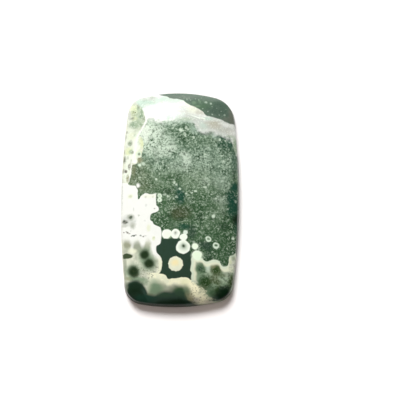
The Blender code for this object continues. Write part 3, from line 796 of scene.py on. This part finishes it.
def jasper(colours, sizes):
    """The stone's finish: its whole pattern, polished on the front and ground matt on the back."""
    tones = {name: (*getattr(colours, name), 1.0) for name in colours.__annotations__}
    material = bpy.data.materials.new("polished jasper")
    material.use_nodes = True
    tree = material.node_tree
    shader = tree.nodes["Principled BSDF"]
    place = Wire(tree, None).node("ShaderNodeTexCoord", output=3)

    # The stone in mm. On the front, the plan has no depth. Further down, it drifts, as growth does in a stone.
    solid = place.scaled(1 / MM)
    x, y, z = solid.parts()
    wall_top = sizes.wall_top / MM
    depth = (wall_top - z).most(0.0)
    flat = solid.node("ShaderNodeCombineXYZ", None, {0: x, 1: y, 2: -depth})
    drift = solid.wander(7.0, 1.0, depth * 2.6)
    fine = solid.wander(0.55, 2.0, 0.5)
    broad = solid.wander(1.3, 1.0, 0.45)
    rag_x, rag_y, ragged = (flat + drift + fine).split()
    lobe_x, lobe_y, lobed = (flat + drift + broad).split()
    haze = solid.noise(0.9, 3.0, 0.6)
    speck = solid.noise(0.3, 1.0, 0.5)

    stone = moss(tones, solid, lobed, lobe_y, sizes.length / MM)

    # The dark cap is the same moss under clear stone
    cap = stone.covered(tones["cap"], 0.85)
    cap = patched(cap, lobed, "cap patches", tones, CAP_PATCHES, soft=0.6)

    # White band: its lower edge frays into the moss on the left and is soft on the right
    band = stone.covered(tones["white"], haze.fade(0.2, 0.7, 1.0, 0.93))
    band = patched(band, lobed, "band patches", tones, BAND_PATCHES, soft=0.7)
    band = band.covered(tones["fawn"], haze.fade(0.5, 0.3, 0.0, 0.4))
    band = band.covered(tones["milk"], speck.fade(0.5, 0.75, 0.0, 0.5))
    line = abs(rag_y - border(rag_x, BAND_LINE)).fade(0.15, 0.03)
    band = band.covered(tones["milk"], line * lobe_x.fade(1.2, 3.2) * lobe_x.fade(5.2, 4.6))
    over = rag_y - border(rag_x, BAND_BORDER) + (haze - 0.5) * 2.0
    stone = stone.covered(band, over.fade(-0.7, 0.35))

    # Left column and the cream margin right of the vein
    column = stone.covered(tones["chalk"], haze.fade(0.25, 0.75, 1.0, 0.8))
    column = patched(column, lobed, "column patches", tones, COLUMN_PATCHES, soft=0.5)
    column = column.covered(tones["moss_head"], haze.fade(0.5, 0.3, 0.0, 0.25))
    column = column.covered(tones["milk"], speck.fade(0.5, 0.72, 0.0, 0.4))
    left = rag_x - border(rag_y, MOSS_LEFT)
    stone = stone.covered(column, left.fade(0.12, -0.12) * (border(rag_x, BAND_BORDER) - rag_y).fade(-0.3, 0.0))
    off = rag_x - border(rag_y, VEIN)
    half = rag_y.fade(6.5, 13.0, 0.02, 0.12)
    vein = (half - abs(off)).fade(-0.22, 0.1)
    stone = stone.covered(tones["white"], vein * rag_y.fade(19.0, 16.0) * rag_y.fade(2.5, 3.5))
    stone = stone.covered(cap, (lobe_y - border(lobe_x, CAP_BORDER)).fade(-0.12, 0.12))

    # White mass, and the cream zone with its eyes in it
    right = border(lobe_y, MASS_RIGHT) - lobe_x
    mass = stone.covered(tones["white"], haze.fade(0.2, 0.8, 1.0, 0.96))
    mass = patched(mass, ragged, "white marks", tones, WHITE_MARKS, soft=0.5)
    zone = mass.covered(tones["chalk"], 1.0)
    zone = zone.covered(tones["clay"], haze.fade(0.35, 0.7, 0.1, 0.6) * right.fade(0.3, 1.2))
    zone = patched(zone, lobed, "cream zone patches", tones, ZONE_PATCHES, soft=0.5)
    notch = spot(lobed, -10.4, -12.15, 1.15, 0.5, 0.2)
    zone = zone.covered(tones["olive"], notch).covered(tones["eye"], notch * 0.7)
    zone = zone.covered(tones["cream"], right.fade(0.95, 0.3) * 0.9)
    mass = mass.covered(zone, (border(lobe_x, ZONE_TOP) - lobe_y).fade(-0.5, 1.0))
    stone = stone.covered(mass, (border(lobe_x, MASS_CREST) - lobe_y).fade(-0.1, 0.1) * right.fade(-0.1, 0.1))

    # Slate window
    inside = (border(lobe_x, WINDOW_TOP) - lobe_y).least(-right).least(border(lobe_y, WINDOW_RIGHT) - lobe_x)
    window = stone.covered(tones["slate"], 1.0)
    window = window.covered(tones["shade"], haze.fade(0.45, 0.65, 0.0, 0.4))
    stone = stone.covered(window, inside.fade(-0.1, 0.1))

    # Cream floor under the window, and the dark foot
    under = border(lobe_x, WINDOW_FLOOR) - lobe_y
    floor = stone.covered(tones["cream"], 1.0).covered(tones["sand"], haze.fade(0.4, 0.6) * 0.4)
    floor = floor.covered(tones["clay"], under.fade(1.1, 2.3) * 0.65)
    floor = patched(floor, lobed, "floor patches", tones, FLOOR_PATCHES, soft=0.6)
    grit = speck.fade(0.56, 0.7) * spot(lobed, 4.2, -20.1, 3.0, 1.8, 0.5)
    floor = floor.covered(tones["brown"], grit * 0.7)
    foot = border(lobe_x, FOOT_TOP) - lobe_y
    west = spot(lobed, -9.5, -17, 3.8, 4.0, 0.25)
    floor = floor.covered(zone, west)
    floor = floor.covered(tones["foot"], foot.fade(-0.45, 0.6)).covered(tones["pine"], foot.fade(1.2, 2.2) * 0.8)
    floor = patched(floor, lobed, "foot patches", tones, FOOT_PATCHES, soft=0.5)
    stone = stone.covered(floor, under.fade(-0.08, 0.08))
    dust = spot(lobed, -6.2, -15.6, 3.4, 1.9, 0.5) + spot(lobed, 0.4, -17.2, 3.6, 0.7, 0.5)
    dust = dust * (-inside).fade(0.0, 0.3)
    stone = stone.covered(tones["brown"], speck.fade(0.55, 0.68) * dust * 0.55)

    # Bottom right mass
    beside = lobe_x - border(lobe_y, BLOCK_LEFT)
    fray = lobe_y.fade(-16.8, -18.0)
    beside = beside + (haze - 0.5) * fray * 4.0
    into = (border(lobe_x, BLOCK_TOP) - lobe_y).least(beside)
    block = stone.covered(tones["lichen"], 1.0)
    block = block.covered(tones["clay"], haze.fade(0.35, 0.65, 0.0, 0.5))
    block = patched(block, lobed, "bottom right patches", tones, BLOCK_PATCHES, soft=0.5)
    mottle = solid.noise(0.6, 3.0, 0.6)
    block = block.covered(tones["shade"], mottle.fade(0.5, 0.34, 0.0, 0.6) * into.fade(1.2, 2.2))
    block = block.covered(tones["lichen"], mottle.fade(0.52, 0.7, 0.0, 0.5) * into.fade(1.0, 2.0))
    block = patched(block, lobed, "bottom right spots", tones, BLOCK_SPOTS, soft=0.6)
    grains = solid.noise(0.4, 4.0, 0.7)
    pale = grains.fade(0.5, 0.7, 0.0, 0.55) * lobe_y.fade(-18.8, -17.6)
    block = block.covered(tones["lichen"], pale * into.fade(1.0, 2.0))
    block = block.covered(tones["pine"], grains.fade(0.48, 0.34, 0.0, 0.5) * into.fade(1.2, 2.2))
    block = block.covered(tones["cream"], into.fade(1.2, 0.65) * (1.0 - fray) * 0.9)
    block = block.covered(tones["snow"], into.fade(0.7, 0.3) * (1.0 - fray) * 0.6)
    soft = fray * 0.5 + 0.1
    stone = stone.covered(block, (into + soft) / (soft * 2.0))

    # Orbs. The flower has a ragged rim, and the back's own orbs keep out of the drift, so that they stay round.
    for tone, orbs in (("snow", RING_ORBS), ("milk", WHITE_ORBS)):
        for orb_x, orb_y, radius in orbs:
            reach = distance(lobed, orb_x, orb_y)
            stone = stone.covered(tones[tone], reach.fade(radius + ORB_EDGE, radius - ORB_EDGE))
    stone = patched(stone, lobed, "orb hearts", tones, ORB_HEARTS, soft=0.5)
    flower = distance(ragged, -0.62, -13.88).fade(1.52, 1.36)
    petals = stone.covered(tones["cream"], 1.0).covered(tones["chalk"], haze.fade(0.4, 0.65, 0.0, 0.7))
    petals = petals.covered(tones["amber"], spot(ragged, -0.75, -13.6, 0.7, 0.6, 0.8, 0.9))
    stone = stone.covered(petals, flower)
    still = flat + broad
    for orb_x, orb_y, radius in BACK_ORBS:
        reach = distance(still, orb_x, orb_y, -wall_top)
        stone = stone.covered(tones["white"], reach.fade(radius + ORB_EDGE, radius - ORB_EDGE))
        stone = stone.covered(tones["sage"], reach.fade(radius * 0.4, radius * 0.2) * 0.8)

    tree.links.new(stone.socket, shader.inputs["Base Color"])
    roughness = z.fade(0.02, 0.5, BACK_ROUGHNESS, WALL_ROUGHNESS)
    roughness = roughness + z.fade(1.2, 2.3, 0.0, FRONT_ROUGHNESS - WALL_ROUGHNESS)
    tree.links.new(roughness.socket, shader.inputs["Roughness"])
    shader.inputs["IOR"].default_value = STONE_IOR
    shader.inputs["Specular IOR Level"].default_value = STONE_SHINE
    return material


def plain_finish(name, colour, roughness):
    material = bpy.data.materials.new(name)
    material.use_nodes = True
    shader = material.node_tree.nodes["Principled BSDF"]
    shader.inputs["Base Color"].default_value = (*colour, 1.0)
    shader.inputs["Roughness"].default_value = roughness
    return material


# Operators


class JASPER_OT_cut_stone(bpy.types.Operator):
    """Cut, polish and colour the cabochon"""

    bl_idname = "jasper.cut_stone"
    bl_label = "Cut the stone"

    def execute(self, context):
        sizes = context.scene.stone_sizes
        crown = (0.0, 0.0, sizes.wall_top + sizes.dome_height)
        mesh = closed_mesh("stone", stone_surface(sizes), (0.0, 0.0, 0.0), crown)
        mesh.materials.append(jasper(context.scene.stone_colours, sizes))
        stone = bpy.data.objects.new("stone", mesh)
        context.scene.collection.objects.link(stone)
        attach(stone, "root")
        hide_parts("cabochon")
        return {"FINISHED"}


# The camera looks at this point of the floor from this far, tilted from straight down, with this roll
AIM = Vector((4.06, -0.14, 0.0)) * MM
CAMERA_DISTANCE = 240.0 * MM
CAMERA_TILT = math.radians(10.5)
CAMERA_ROLL = 0.009
CAMERA_LENS = 106.2


def look_down():
    """The camera's matrix: it looks down on the stone from its foot side."""
    roll = Matrix.Rotation(CAMERA_ROLL, 4, "Z")
    tilt = Matrix.Rotation(CAMERA_TILT, 4, "X")
    back = tilt @ Vector((0.0, 0.0, CAMERA_DISTANCE))
    return roll @ Matrix.Translation(AIM + back) @ tilt


# A dim room with a warm fill from the left and one soft window beyond the head, a little to the left: the way
# to each, the cosines between which it fades in, and its light
ROOM_LIGHT = (0.1, 0.09, 0.085, 1.0)
LIGHTS = [((-0.45, -0.35, 0.82), (0.3, 1.0), (0.5, 0.42, 0.38, 1.0)),
          ((-0.17, 0.71, 0.68), (0.95, 0.999), (29.0, 29.0, 29.0, 1.0))]


class JASPER_OT_set_stage(bpy.types.Operator):
    """Set up the floor, the lights and the camera"""

    bl_idname = "jasper.set_stage"
    bl_label = "Set the stage"

    def execute(self, context):
        scene = context.scene
        mesh = bpy.data.meshes.new("paper")
        corners = [(x * PAPER_REACH, y * PAPER_REACH, 0.0) for x, y in ((-1, -1), (1, -1), (1, 1), (-1, 1))]
        mesh.from_pydata(corners, [], [(0, 1, 2, 3)])
        mesh.materials.append(plain_finish("white paper", PAPER_COLOUR, PAPER_ROUGHNESS))
        floor = bpy.data.objects.new("paper", mesh)
        scene.collection.objects.link(floor)
        floor.location.z = -PAPER_DROP

        world = bpy.data.worlds.new("room")
        world.use_nodes = True
        background = world.node_tree.nodes["Background"]
        towards = Wire(world.node_tree, None).node("ShaderNodeTexCoord")
        room = ROOM_LIGHT
        for way, spread, light in LIGHTS:
            way = Vector(way).normalized()
            facing = towards.node("ShaderNodeVectorMath", {"operation": "DOT_PRODUCT"}, {0: towards, 1: way}, 1)
            share = facing.fade(*spread)
            room = share.node("ShaderNodeMix", {"data_type": "RGBA"}, {0: share, 6: room, 7: light}, 2)
        world.node_tree.links.new(room.socket, background.inputs["Color"])
        scene.world = world
        scene.view_settings.view_transform = "Standard"

        camera = bpy.data.cameras.new("camera")
        camera.sensor_width = 36.0
        camera.lens = CAMERA_LENS
        camera.clip_start = 0.01
        seat = bpy.data.objects.new("camera", camera)
        seat.matrix_world = look_down()
        scene.collection.objects.link(seat)
        scene.camera = seat
        return {"FINISHED"}


class JASPER_PT_sidebar(bpy.types.Panel):
    bl_idname = "JASPER_PT_sidebar"
    bl_label = "Ocean jasper"
    bl_space_type = "VIEW_3D"
    bl_region_type = "UI"
    bl_category = "Jasper"

    def draw(self, context):
        layout = self.layout
        for operator in (JASPER_OT_cut_stone, JASPER_OT_set_stage):
            layout.operator(operator.bl_idname)
        for group in (context.scene.stone_sizes, context.scene.stone_colours):
            for name in group.__annotations__:
                layout.prop(group, name)


CLASSES = (StoneSizes, StoneColours, JASPER_OT_cut_stone, JASPER_OT_set_stage, JASPER_PT_sidebar)


def register():
    for made in CLASSES:
        bpy.utils.register_class(made)
    bpy.types.Scene.stone_sizes = PointerProperty(type=StoneSizes)
    bpy.types.Scene.stone_colours = PointerProperty(type=StoneColours)


def unregister():
    del bpy.types.Scene.stone_colours
    del bpy.types.Scene.stone_sizes
    for made in reversed(CLASSES):
        bpy.utils.unregister_class(made)


def main():
    register()
    bpy.ops.jasper.cut_stone()
    bpy.ops.jasper.set_stage()


if __name__ == "__main__":
    main()
